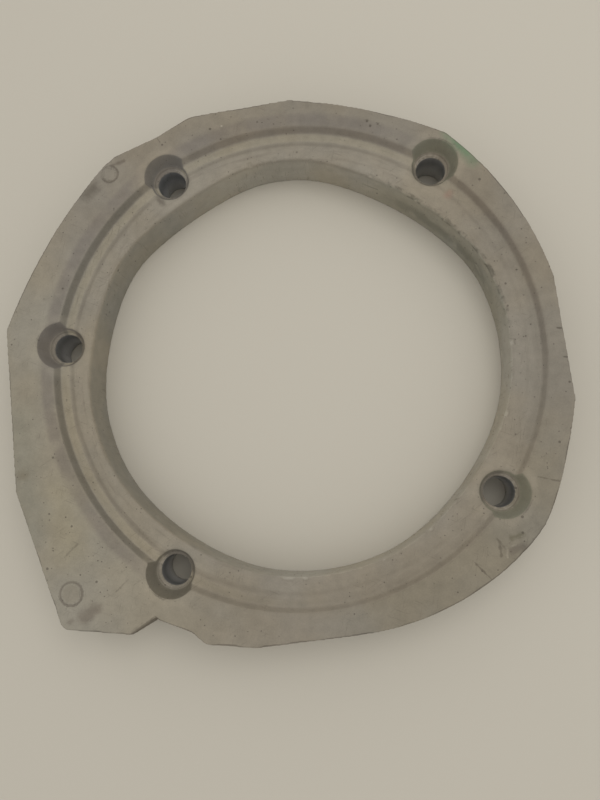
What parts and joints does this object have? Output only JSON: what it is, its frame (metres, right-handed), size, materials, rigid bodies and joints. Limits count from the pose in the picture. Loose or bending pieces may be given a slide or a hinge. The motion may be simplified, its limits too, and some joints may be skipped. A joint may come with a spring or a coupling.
{
  "type": "washing machine counterweight",
  "caption": "Flat cast ring block with a wide round opening, a stepped recess, stepped bolt holes and an irregular outline, bolted to a washing machine tub to steady it.",
  "frame": {"origin": "on the axis of the round opening, at the flat rear face", "axes": "+Z along the axis of the opening, out of the stepped front face; +Y towards the top corner of the outline; +X towards the straight right side"},
  "size_m": [0.4955, 0.4832, 0.05],
  "materials": {
    "concrete": "matte"
  },
  "bodies": {
    "root": {"counterweight": "concrete"}
  },
  "joints": []
}
